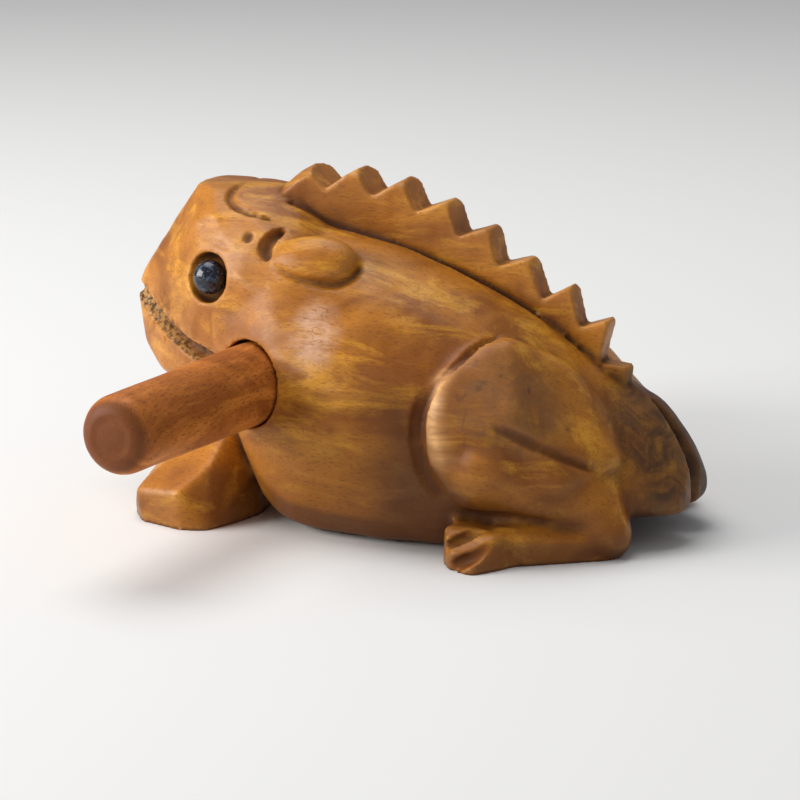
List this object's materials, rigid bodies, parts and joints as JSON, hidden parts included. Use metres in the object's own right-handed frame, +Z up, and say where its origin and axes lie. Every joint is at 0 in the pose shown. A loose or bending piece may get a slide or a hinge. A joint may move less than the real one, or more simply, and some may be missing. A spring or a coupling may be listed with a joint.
{
  "type": "frog guiro",
  "caption": "Carved wooden frog with a toothed ridge along its back, a hollow belly open below, bead eyes, and a loose striker stick resting in a bore through its throat.",
  "frame": {"origin": "on the floor, in the middle of the whole object's length and width: midway between the frog's two sides, and midway between snout and rump", "axes": "+X to the frog's left, along the stick; +Y from the snout towards the rump; +Z up"},
  "size_m": [0.1612, 0.125, 0.0709],
  "materials": {
    "lacquered_wood": "satin lacquer over honey-brown carved wood, darker at the rump",
    "dark_bead": "glossy blue-black bead",
    "stick_wood": "smooth reddish wood, rubbed with wax"
  },
  "bodies": {
    "root": {"frog_body": "lacquered_wood", "left_eye": "dark_bead", "right_eye": "dark_bead", "striker_stick": "stick_wood"}
  },
  "joints": []
}
